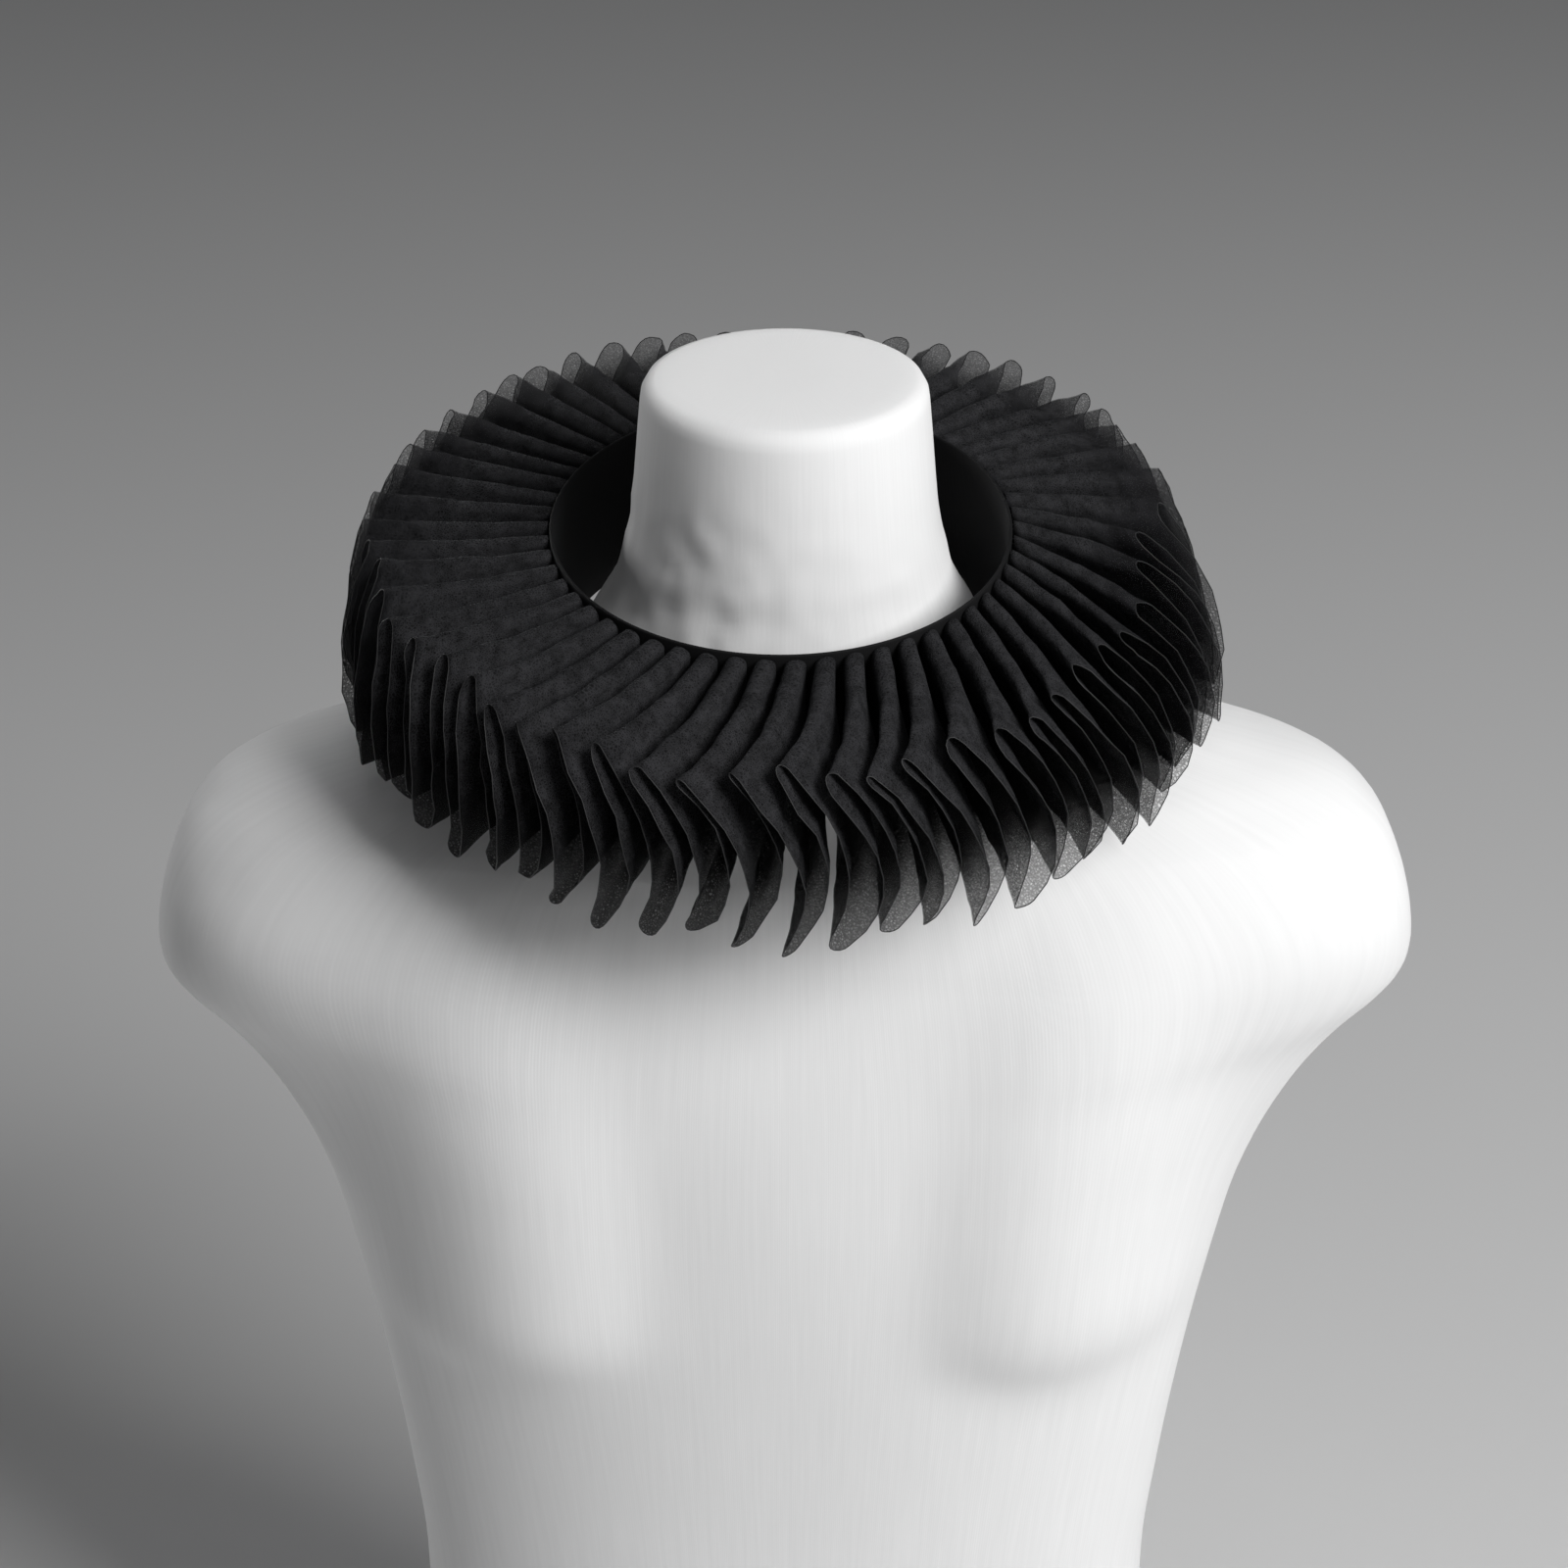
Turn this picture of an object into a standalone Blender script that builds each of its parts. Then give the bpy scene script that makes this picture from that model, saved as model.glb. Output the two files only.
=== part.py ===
"""A black pleated ruff collar resting on a white limbless dress form.

Metres, +Z up. The form faces -Y and stands on its flat underside, whose middle is the origin.
The ruff is drawn in its own tilted frame: azimuth 0 is the front, 90 degrees is +X, and
height 0 is the neckband's top edge.
"""

import math

import bmesh
import bpy
from mathutils import Matrix, Vector

# Where the ruff sits: the middle of the neckband's top edge, and how far the collar tips forward
RUFF_CENTRE = Vector((-0.0013, -0.0097, 0.5700))
RUFF_TILT = math.radians(13.4)

# Neckband, a standing strip of cloth that opens at the centre back
BAND_RADIUS = 0.0744
BAND_HEIGHT = 0.0543
BAND_WALL = 0.0012
BAND_OPENING = 0.0010
BAND_SEGMENTS = 72
SEAM_GAP = 0.0006

# Frill, one long strip of net set in tall round pleats
PLEATS = 56
FRILL_WALL = 0.0011
FRILL_TOP = 0.0010
FRILL_BOTTOM = 0.0500
FRILL_OPENING = math.radians(2.0)
BACK_CROWDING = 0.08
FOLD_DEPTH = 1.30
BAND_FOLD_DEPTH = 0.80
SPREAD_POWER = 1.3
PANEL_CURVE = 2.4
RADIUS_WOBBLE = 0.0022
HEIGHT_WOBBLE = 0.0018
AZIMUTH_WOBBLE = 0.10
WOBBLE_STEP = 2.4
ARC_STEPS = 4
PANEL_POINTS = 2
FRILL_ROWS = (0.0, 0.5, 1.0)

# The frill's free edge: its radius and height at the upper folds, half way down and at the
# lower folds, and the degrees that each has swung round from where the pleat leaves the band
EDGE_COLUMNS = (
    "azimuth",
    "top_radius", "middle_radius", "bottom_radius",
    "top_height", "bottom_height",
    "top_swing", "middle_swing", "bottom_swing",
)
EDGE_SECTIONS = (
    (-180, 0.131, 0.142, 0.142, -0.003, -0.059, -2.0, 0.0, -3.0),
    (-140, 0.137, 0.144, 0.145, -0.003, -0.060, -2.5, 0.0, -2.0),
    (-100, 0.138, 0.145, 0.147, -0.003, -0.065, -5.0, 1.0, 1.0),
    (-75, 0.131, 0.143, 0.141, -0.005, -0.066, -7.0, 1.0, 1.0),
    (-45, 0.123, 0.139, 0.136, -0.006, -0.064, -8.0, 1.0, -1.0),
    (-20, 0.127, 0.138, 0.138, -0.006, -0.064, -10.0, -1.0, -4.0),
    (0, 0.129, 0.139, 0.141, -0.006, -0.064, -11.0, -2.0, -6.0),
    (15, 0.126, 0.140, 0.141, -0.006, -0.063, -11.5, -3.5, -8.0),
    (33, 0.123, 0.141, 0.142, -0.006, -0.062, -14.8, -7.0, -10.0),
    (42, 0.122, 0.141, 0.142, -0.006, -0.061, -13.5, -7.0, -11.0),
    (60, 0.117, 0.140, 0.141, -0.006, -0.061, -14.5, -9.0, -12.0),
    (80, 0.115, 0.140, 0.140, -0.006, -0.062, -13.5, -10.0, -14.0),
    (97, 0.117, 0.142, 0.145, -0.005, -0.063, -8.0, -8.0, -13.0),
    (110, 0.131, 0.144, 0.146, -0.003, -0.062, -3.0, -4.0, -10.0),
    (140, 0.137, 0.144, 0.145, -0.003, -0.060, -5.0, -1.0, -6.0),
    (180, 0.131, 0.142, 0.142, -0.003, -0.059, -2.0, 0.0, -3.0),
)

# How wide the upper and the lower folds stand, as a share of an even pleat's fold: at the band,
# and all round the free edge
BAND_SPREAD = {"top": 1.35, "bottom": 0.65}
SPREAD_COLUMNS = ("azimuth", "top", "bottom")
SPREAD_SECTIONS = (
    (-180, 1.40, 0.60),
    (-110, 1.35, 0.60),
    (-75, 1.20, 0.60),
    (-50, 1.00, 0.60),
    (-25, 0.65, 0.60),
    (0, 0.62, 0.60),
    (25, 0.75, 0.62),
    (45, 0.95, 0.70),
    (95, 1.05, 0.75),
    (130, 0.90, 0.80),
    (180, 1.40, 0.60),
)

# Hooks and bars that close the band at the centre back
FASTENER_HEIGHTS = {"upper": -0.0130, "lower": -0.0390}
FASTENER_OFFSET = 0.0008
FASTENER_SHEET = 0.0006
FASTENER_GAP = 0.0003
HOOK_WIDTH = 0.0070
HOOK_TAIL = 0.0070
HOOK_REACH = 0.0050
HOOK_BILL = 0.0034
BAR_DEPTH = 0.0010
BAR_LEG = 0.0010

# Dress form: the neck and the torso are two stacks of sections, and each ring is their smooth union
RING_POINTS = 44
UNION_POWER = 4.0
NECK_COLUMNS = ("height", "half_width", "front", "back", "axis")
NECK_SECTIONS = (
    (0.440, 0.0300, 0.0300, 0.0320, 0.0000),
    (0.470, 0.0500, 0.0560, 0.0660, -0.0010),
    (0.500, 0.0600, 0.0620, 0.0780, -0.0020),
    (0.513, 0.0632, 0.0600, 0.0790, -0.0030),
    (0.524, 0.0662, 0.0590, 0.0775, -0.0040),
    (0.533, 0.0655, 0.0570, 0.0745, -0.0050),
    (0.540, 0.0630, 0.0556, 0.0695, -0.0060),
    (0.547, 0.0587, 0.0542, 0.0627, -0.0070),
    (0.555, 0.0550, 0.0525, 0.0565, -0.0080),
    (0.562, 0.0533, 0.0515, 0.0538, -0.0086),
    (0.570, 0.0512, 0.0507, 0.0515, -0.0093),
    (0.580, 0.0497, 0.0500, 0.0500, -0.0100),
    (0.608, 0.0471, 0.0480, 0.0480, -0.0115),
    (0.616, 0.0462, 0.0472, 0.0472, -0.0118),
    (0.619, 0.0445, 0.0455, 0.0455, -0.0118),
    (0.620, 0.0415, 0.0425, 0.0425, -0.0118),
)
TORSO_COLUMNS = ("height", "half_width", "front", "back", "squareness")
TORSO_SECTIONS = (
    (0.000, 0.1590, 0.0930, 0.1040, 2.30),
    (0.045, 0.1530, 0.0890, 0.0990, 2.30),
    (0.090, 0.1405, 0.0820, 0.0870, 2.30),
    (0.130, 0.1335, 0.0780, 0.0770, 2.30),
    (0.166, 0.1339, 0.0785, 0.0735, 2.30),
    (0.211, 0.1384, 0.0820, 0.0765, 2.30),
    (0.261, 0.1457, 0.0880, 0.0840, 2.30),
    (0.290, 0.1512, 0.0917, 0.0896, 2.25),
    (0.304, 0.1543, 0.0934, 0.0920, 2.20),
    (0.328, 0.1605, 0.0956, 0.0957, 2.10),
    (0.343, 0.1662, 0.0965, 0.0978, 2.05),
    (0.357, 0.1730, 0.0969, 0.0991, 2.00),
    (0.375, 0.1837, 0.0966, 0.1002, 2.00),
    (0.384, 0.1906, 0.0961, 0.1006, 2.00),
    (0.392, 0.1978, 0.0954, 0.1009, 2.00),
    (0.400, 0.2060, 0.0944, 0.1011, 2.05),
    (0.408, 0.2137, 0.0930, 0.1012, 2.15),
    (0.417, 0.2163, 0.0911, 0.1011, 2.30),
    (0.431, 0.2148, 0.0880, 0.1002, 2.60),
    (0.443, 0.2122, 0.0847, 0.0982, 2.70),
    (0.455, 0.2079, 0.0808, 0.0950, 2.60),
    (0.464, 0.2033, 0.0770, 0.0920, 2.50),
    (0.471, 0.1972, 0.0730, 0.0890, 2.40),
    (0.478, 0.1895, 0.0670, 0.0840, 2.2),
    (0.484, 0.1780, 0.0610, 0.0780, 2.1),
    (0.489, 0.1610, 0.0550, 0.0730, 2.0),
    (0.493, 0.1460, 0.0490, 0.0700, 2.0),
    (0.497, 0.1300, 0.0430, 0.0660, 2.0),
    (0.502, 0.1120, 0.0360, 0.0610, 2.0),
    (0.507, 0.0920, 0.0300, 0.0550, 2.0),
    (0.511, 0.0720, 0.0250, 0.0490, 2.0),
    (0.516, 0.0440, 0.0180, 0.0400, 2.0),
    (0.523, 0.0280, 0.0100, 0.0260, 2.0),
)
TORSO_AXIS = 0.0020
CAP_SLOPE = math.radians(4.5)
CAP_SLOPE_FROM = 0.545
CAP_SLOPE_TO = 0.600
BUST_FROM = 0.0500
BUST_COLUMNS = ("side", "height", "reach", "half_width", "rise", "fall")
BUST = (
    (-0.1010, 0.3210, 0.0130, 0.0480, 0.1200, 0.0430),
    (0.1010, 0.3210, 0.0130, 0.0480, 0.1200, 0.0430),
)
BUST_EDGE = 3.0

CLOTH_BLACK = (0.012, 0.012, 0.013, 1.0)
NET_BLACK = (0.016, 0.016, 0.017, 1.0)
FORM_WHITE = (0.80, 0.79, 0.77, 1.0)
WIRE_BLACK = (0.03, 0.03, 0.03, 1.0)


def rows(columns, table):
    """A table as a list of dictionaries."""
    return [dict(zip(columns, row)) for row in table]


def clear_scene():
    for old in list(bpy.data.objects):
        bpy.data.objects.remove(old, do_unlink=True)


def finish_material(name, colour, roughness, metallic=0.0):
    material = bpy.data.materials.new(name)
    material.use_nodes = True
    shader = material.node_tree.nodes["Principled BSDF"]
    shader.inputs["Base Color"].default_value = colour
    shader.inputs["Roughness"].default_value = roughness
    shader.inputs["Metallic"].default_value = metallic
    return material


def add_object(name, mesh_builder, material):
    """Makes an object from a filled bmesh, with its faces turned outwards."""
    bmesh.ops.recalc_face_normals(mesh_builder, faces=mesh_builder.faces[:])
    mesh = bpy.data.meshes.new(name)
    mesh_builder.to_mesh(mesh)
    mesh_builder.free()
    mesh.materials.append(material)
    mesh.shade_smooth()
    mesh.set_sharp_from_angle(angle=math.radians(50))
    made = bpy.data.objects.new(name, mesh)
    bpy.context.scene.collection.objects.link(made)
    return made


def ruff_frame():
    return Matrix.Translation(RUFF_CENTRE) @ Matrix.Rotation(RUFF_TILT, 4, "X")


def around(radius, azimuth, height):
    """A point of the ruff's frame from its radius, its azimuth from the front and its height."""
    return Vector((radius * math.sin(azimuth), -radius * math.cos(azimuth), height))


def mix(low, high, share):
    return low + (high - low) * share


def wobble(fold, phase):
    """A number from -1 to 1 that differs from fold to fold, for hand-made unevenness."""
    return math.sin(WOBBLE_STEP * fold + phase)


def fold_azimuth(fold):
    """Where a fold leaves the band. Even folds are at the bottom and odd ones at the top."""
    span = math.pi - FRILL_OPENING / 2
    even = span * (fold / PLEATS - 1)
    return even + BACK_CROWDING * math.sin(even * math.pi / span)


def around_table(columns, table, azimuth):
    """The free edge's section at an azimuth, eased between the table's rows."""
    degrees = max(-180.0, min(180.0, math.degrees(azimuth)))
    for low, high in zip(table, table[1:]):
        if degrees <= high[0]:
            share = (degrees - low[0]) / (high[0] - low[0])
            share = share * share * (3 - 2 * share)
            return {c: mix(a, b, share) for c, a, b in zip(columns, low, high)}
    return dict(zip(columns, table[-1]))


def edge_at(azimuth):
    return around_table(EDGE_COLUMNS, EDGE_SECTIONS, azimuth)


def bowed(bottom, middle, top, share):
    """A value on the smooth curve through its bottom, middle and top ones."""
    bow = middle - (bottom + top) / 2
    return mix(bottom, top, share) + 4 * bow * share * (1 - share)


def frill_point(azimuth, share_up, share_out, fold):
    """Places a point of the frill from its share of the height and of the way out."""
    edge = edge_at(azimuth)
    inner = BAND_RADIUS + BAND_WALL + SEAM_GAP
    outer = bowed(edge["bottom_radius"], edge["middle_radius"], edge["top_radius"], share_up)
    outer += RADIUS_WOBBLE * wobble(fold, 1.0)
    swing = bowed(edge["bottom_swing"], edge["middle_swing"], edge["top_swing"], share_up)
    inner_height = mix(-FRILL_BOTTOM, -FRILL_TOP, share_up)
    outer_height = mix(edge["bottom_height"], edge["top_height"], share_up)
    outer_height += HEIGHT_WOBBLE * wobble(fold, 4.0)
    turned = azimuth + math.radians(swing) * share_out
    height = mix(inner_height, outer_height, share_out)
    return around(mix(inner, outer, share_out), turned, height)


def frill_row(share_out):
    """One line of points along the whole strip, up and down through every pleat."""
    azimuths = []
    for fold in range(2 * PLEATS + 1):
        shift = AZIMUTH_WOBBLE * math.pi / PLEATS * wobble(fold, 2.0) * share_out
        azimuths.append(fold_azimuth(fold) + shift)
    panels = [(a + b) / 2 for a, b in zip(azimuths, azimuths[1:])]

    def round_part(fold):
        """A fold's half width as an angle, its depth, and how much one side of it rises."""
        name = "top" if fold % 2 == 1 else "bottom"
        edge = edge_at(azimuths[fold])
        opened = share_out**SPREAD_POWER
        spread_out = around_table(SPREAD_COLUMNS, SPREAD_SECTIONS, azimuths[fold])[name]
        half_width = (panels[fold] - panels[fold - 1]) / 2 * mix(BAND_SPREAD[name], spread_out, opened)
        radius = mix(BAND_RADIUS, (edge["top_radius"] + edge["bottom_radius"]) / 2, share_out)
        tall = mix(FRILL_BOTTOM, edge["top_height"] - edge["bottom_height"], share_out)
        bow = 4 * edge["middle_swing"] - 2 * (edge["bottom_swing"] + edge["top_swing"])
        growth = edge["top_swing"] - edge["bottom_swing"] + (-bow if name == "top" else bow)
        lean = math.atan(math.radians(growth) * share_out * radius / tall)
        width = half_width * radius / tall
        depth = mix(BAND_FOLD_DEPTH, FOLD_DEPTH, opened) * width * math.cos(lean)
        return half_width, depth, -width * math.sin(lean) * math.cos(lean)

    line = [(panels[0], 0.0, 0.0)]
    for fold in range(1, 2 * PLEATS):
        half_width, depth, rise = round_part(fold)
        centre = (panels[fold] + panels[fold - 1]) / 2
        at_top = fold % 2 == 1
        middle = 1 - depth - abs(rise) if at_top else depth + abs(rise)
        before, previous = line[-1][0], line[-1][1]
        for step in range(1, PANEL_POINTS + 1):
            share = step / (PANEL_POINTS + 1)
            turned = 1 - (1 - share) ** PANEL_CURVE if at_top else share**PANEL_CURVE
            azimuth = mix(before, centre - half_width, turned)
            line.append((azimuth, mix(previous, middle - rise, share), fold - 0.5))
        for step in range(ARC_STEPS + 1):
            turn = math.pi * step / ARC_STEPS
            across, out = -math.cos(turn), depth * math.sin(turn)
            level = middle + rise * across + (out if at_top else -out)
            place = (step / ARC_STEPS - 0.5) * 0.5
            line.append((centre + half_width * across, level, fold + place))
    previous = line[-1][1]
    for step in range(1, PANEL_POINTS + 2):
        share = step / (PANEL_POINTS + 1)
        line.append((panels[-1], mix(previous, 0.0, share), 2.0 * PLEATS))
    return [frill_point(a, up, share_out, fold) for a, up, fold in line]


def make_frill(material):
    grid = [frill_row(share) for share in FRILL_ROWS]
    builder = bmesh.new()
    frame = ruff_frame()
    points = [[builder.verts.new(frame @ p) for p in line] for line in grid]
    for inner, outer in zip(points, points[1:]):
        for k in range(len(inner) - 1):
            builder.faces.new((inner[k], inner[k + 1], outer[k + 1], outer[k]))
    frill = add_object("frill", builder, material)
    wall = frill.modifiers.new("wall", "SOLIDIFY")
    wall.thickness = FRILL_WALL
    wall.offset = 0.0
    return frill


def make_neckband(material):
    """A standing C of cloth, its two ends a hair apart at the centre back."""
    half_opening = BAND_OPENING / 2 / BAND_RADIUS
    builder = bmesh.new()
    frame = ruff_frame()
    corners = (
        (BAND_RADIUS, 0.0),
        (BAND_RADIUS + BAND_WALL, 0.0),
        (BAND_RADIUS + BAND_WALL, -BAND_HEIGHT),
        (BAND_RADIUS, -BAND_HEIGHT),
    )
    sections = []
    for k in range(BAND_SEGMENTS + 1):
        azimuth = mix(-math.pi + half_opening, math.pi - half_opening, k / BAND_SEGMENTS)
        sections.append([builder.verts.new(frame @ around(r, azimuth, z)) for r, z in corners])
    for a, b in zip(sections, sections[1:]):
        for k in range(4):
            builder.faces.new((a[k], a[(k + 1) % 4], b[(k + 1) % 4], b[k]))
    builder.faces.new(sections[0])
    builder.faces.new(sections[-1])
    return add_object("neckband", builder, material)


def extrude_profile(name, profile, direction, place, material):
    """A solid from a flat closed outline, pushed along a direction and set in its place."""
    builder = bmesh.new()
    face = builder.faces.new([builder.verts.new(p) for p in profile])
    pushed = bmesh.ops.extrude_face_region(builder, geom=[face])
    moved = [v for v in pushed["geom"] if isinstance(v, bmesh.types.BMVert)]
    bmesh.ops.translate(builder, verts=moved, vec=direction)
    bmesh.ops.transform(builder, matrix=place, verts=builder.verts[:])
    return add_object(name, builder, material)


def make_fasteners(material):
    """Two flat hooks on one end of the band, each caught round a bar on the other end.

    In a fastener's own frame +X runs round the band, +Y points to the neck and +Z is up the band.
    """
    sheet = FASTENER_SHEET
    bar_low = sheet + FASTENER_GAP
    bar_high = bar_low + sheet
    bill_low = bar_high + FASTENER_GAP
    bill_high = bill_low + sheet
    bar_at = HOOK_REACH - sheet - FASTENER_GAP - BAR_DEPTH
    inner_half = HOOK_WIDTH / 2 + FASTENER_GAP
    outer_half = inner_half + BAR_LEG
    hook = (
        (-HOOK_TAIL, 0.0),
        (HOOK_REACH, 0.0),
        (HOOK_REACH, bill_high),
        (HOOK_REACH - HOOK_BILL, bill_high),
        (HOOK_REACH - HOOK_BILL, bill_low),
        (HOOK_REACH - sheet, bill_low),
        (HOOK_REACH - sheet, sheet),
        (-HOOK_TAIL, sheet),
    )
    bar = (
        (-outer_half, 0.0),
        (-inner_half, 0.0),
        (-inner_half, bar_low),
        (inner_half, bar_low),
        (inner_half, 0.0),
        (outer_half, 0.0),
        (outer_half, bar_high),
        (-outer_half, bar_high),
    )
    for level, height in FASTENER_HEIGHTS.items():
        back = Vector((0.0, BAND_RADIUS - FASTENER_OFFSET, height))
        place = ruff_frame() @ Matrix.Translation(back) @ Matrix.Rotation(math.pi, 4, "Z")
        hook_line = [Vector((x, y, -HOOK_WIDTH / 2)) for x, y in hook]
        extrude_profile("hook_" + level, hook_line, Vector((0, 0, HOOK_WIDTH)), place, material)
        bar_line = [Vector((bar_at, y, z)) for z, y in bar]
        extrude_profile("bar_" + level, bar_line, Vector((BAR_DEPTH, 0, 0)), place, material)


def section_at(stack, height):
    """A stack's section at a height, between its rows, or nothing above and below them."""
    for low, high in zip(stack, stack[1:]):
        if low["height"] <= height <= high["height"]:
            share = (height - low["height"]) / (high["height"] - low["height"])
            return {name: mix(low[name], high[name], share) for name in low}
    return None


def section_radius(section, angle, power):
    """Distance from a section's axis to its outline, in one direction."""
    depth = section["front"] if math.sin(angle) < 0 else section["back"]
    x = abs(math.cos(angle)) / section["half_width"]
    y = abs(math.sin(angle)) / depth
    return (x**power + y**power) ** (-1 / power)


def bust_reach(x, height):
    """How far the chest stands forward of the plain section: two round mounds with soft edges."""
    total = 0.0
    for mound in rows(BUST_COLUMNS, BUST):
        across = (x - mound["side"]) / mound["half_width"]
        over = height - mound["height"]
        upper = max(0.0, min(1.0, (over / mound["fall"] + 1) / 2))
        along = over / mix(mound["fall"], mound["rise"], upper * upper * (3 - 2 * upper))
        inside = 1 - across * across - along * along
        total += mound["reach"] * math.log1p(math.exp(BUST_EDGE * inside)) / BUST_EDGE
    return total


def form_point(angle, height, neck, torso):
    """A point of the form's surface, where the neck and torso sections blend into one outline."""
    neck_radius = section_radius(neck, angle, 2.0) if neck else 0.0
    torso_radius = section_radius(torso, angle, torso["squareness"]) if torso else 0.0
    radius = (neck_radius**UNION_POWER + torso_radius**UNION_POWER) ** (1 / UNION_POWER)
    neck_share = neck_radius**2 / (neck_radius**2 + torso_radius**2)
    neck_axis = neck["axis"] if neck else 0.0
    x = radius * math.cos(angle)
    y = mix(TORSO_AXIS, neck_axis, neck_share) + radius * math.sin(angle)
    if y < 0:
        y -= bust_reach(x, height) * min(1.0, -y / BUST_FROM)
    slope_share = (height - CAP_SLOPE_FROM) / (CAP_SLOPE_TO - CAP_SLOPE_FROM)
    slope_share = max(0.0, min(1.0, slope_share))
    return Vector((x, y, height + (y - neck_axis) * math.tan(CAP_SLOPE) * slope_share))


def form_ring(height, neck_stack, torso_stack):
    """One ring of the dress form, from the neck's and the torso's sections at that height."""
    neck = section_at(neck_stack, height)
    torso = section_at(torso_stack, height)
    turn = 2 * math.pi / RING_POINTS
    return [form_point(k * turn, height, neck, torso) for k in range(RING_POINTS)]


def make_dress_form(material):
    neck = rows(NECK_COLUMNS, NECK_SECTIONS)
    torso = rows(TORSO_COLUMNS, TORSO_SECTIONS)
    heights = sorted({section["height"] for section in neck + torso})
    builder = bmesh.new()
    rings = [[builder.verts.new(p) for p in form_ring(h, neck, torso)] for h in heights]
    for low, high in zip(rings, rings[1:]):
        for k in range(RING_POINTS):
            after = (k + 1) % RING_POINTS
            builder.faces.new((low[k], low[after], high[after], high[k]))
    builder.faces.new(rings[0])
    builder.faces.new(rings[-1])
    return add_object("dress_form", builder, material)


def main():
    clear_scene()
    make_dress_form(finish_material("covered_form", FORM_WHITE, 0.75))
    make_neckband(finish_material("band_cloth", CLOTH_BLACK, 0.85))
    make_frill(finish_material("black_net", NET_BLACK, 0.70))
    make_fasteners(finish_material("black_wire", WIRE_BLACK, 0.35, 1.0))


main()
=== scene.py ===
import math

import bmesh
import bpy
from mathutils import Matrix, Vector, noise


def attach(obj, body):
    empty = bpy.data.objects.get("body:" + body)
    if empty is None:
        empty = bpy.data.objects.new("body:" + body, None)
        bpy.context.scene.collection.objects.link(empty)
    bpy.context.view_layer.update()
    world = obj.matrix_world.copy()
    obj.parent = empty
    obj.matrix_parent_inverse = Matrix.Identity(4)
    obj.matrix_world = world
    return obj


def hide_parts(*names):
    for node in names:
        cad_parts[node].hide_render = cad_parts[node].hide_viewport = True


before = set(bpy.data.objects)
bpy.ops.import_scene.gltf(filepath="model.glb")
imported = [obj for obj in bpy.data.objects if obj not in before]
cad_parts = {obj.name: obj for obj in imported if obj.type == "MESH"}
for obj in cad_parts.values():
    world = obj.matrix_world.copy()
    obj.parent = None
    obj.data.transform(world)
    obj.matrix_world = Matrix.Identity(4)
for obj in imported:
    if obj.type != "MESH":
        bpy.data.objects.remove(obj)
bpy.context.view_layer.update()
print("frame loaded")

# Metres, +Z up, the form faces -Y. The ruff has its own frame: azimuth 0 is the front, 90 degrees
# is +X, height 0 is the band's top edge, and the whole collar tips forward.
ruff = {
    "centre": (-0.0013, -0.0097, 0.5700),
    "tilt": 13.4,
    "bandRadius": 0.0744,
    "bandWall": 0.0012,
    "bandHeight": 0.0543,
    "seamGap": 0.0006,
}
ruffPlace = Matrix.Translation(ruff["centre"]) @ Matrix.Rotation(math.radians(ruff["tilt"]), 4, "X")


def mix(low, high, share):
    return low + (high - low) * share


def clamped(value):
    return max(0.0, min(1.0, value))


def eased(value):
    value = clamped(value)
    return value * value * (3 - 2 * value)


def around(radius, azimuth, height):
    return Vector((radius * math.sin(azimuth), -radius * math.cos(azimuth), height))


# ---- camera: a long lens, 24 degrees above the horizon, as the photograph is taken
view = {"lens": 80.0, "sensor": 36.0, "place": (-0.0003, -1.0839, 0.9547), "pitch": 24.0}

cameraData = bpy.data.cameras.new("viewCamera")
cameraData.lens = view["lens"]
cameraData.sensor_width = view["sensor"]
cameraData.clip_start = 0.05
cameraData.clip_end = 30.0
viewCamera = bpy.data.objects.new("viewCamera", cameraData)
viewCamera.location = view["place"]
viewCamera.rotation_euler = (math.radians(90 - view["pitch"]), 0.0, 0.0)
bpy.context.scene.collection.objects.link(viewCamera)
bpy.context.scene.camera = viewCamera
bpy.context.scene.view_settings.view_transform = "Standard"  # whites stay as white as in the photograph
print("camera placed")



# ---- materials
def paint(code, alpha=1.0):
    parts = [int(code[k:k + 2], 16) / 255 for k in (1, 3, 5)]
    linear = [p / 12.92 if p <= 0.04045 else ((p + 0.055) / 1.055) ** 2.4 for p in parts]
    return (*linear, alpha)


def addNode(tree, kind, settings=None, links=None):
    node = tree.nodes.new(kind)
    for key, value in (settings or {}).items():
        if isinstance(key, int) or key in node.inputs:
            node.inputs[key].default_value = value
        else:
            setattr(node, key, value)
    for key, source in (links or {}).items():
        tree.links.new(source, node.inputs[key])
    return node


def newMaterial(name, settings):
    material = bpy.data.materials.new(name)
    material.use_nodes = True
    tree = material.node_tree
    tree.nodes.clear()
    shader = addNode(tree, "ShaderNodeBsdfPrincipled", settings)
    addNode(tree, "ShaderNodeOutputMaterial", {}, {"Surface": shader.outputs[0]})
    return material, tree, shader


def bandScale(period):
    return math.tau / 20 / period  # a Wave Texture of bands repeats every 2 pi / 20 at scale 1


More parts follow.
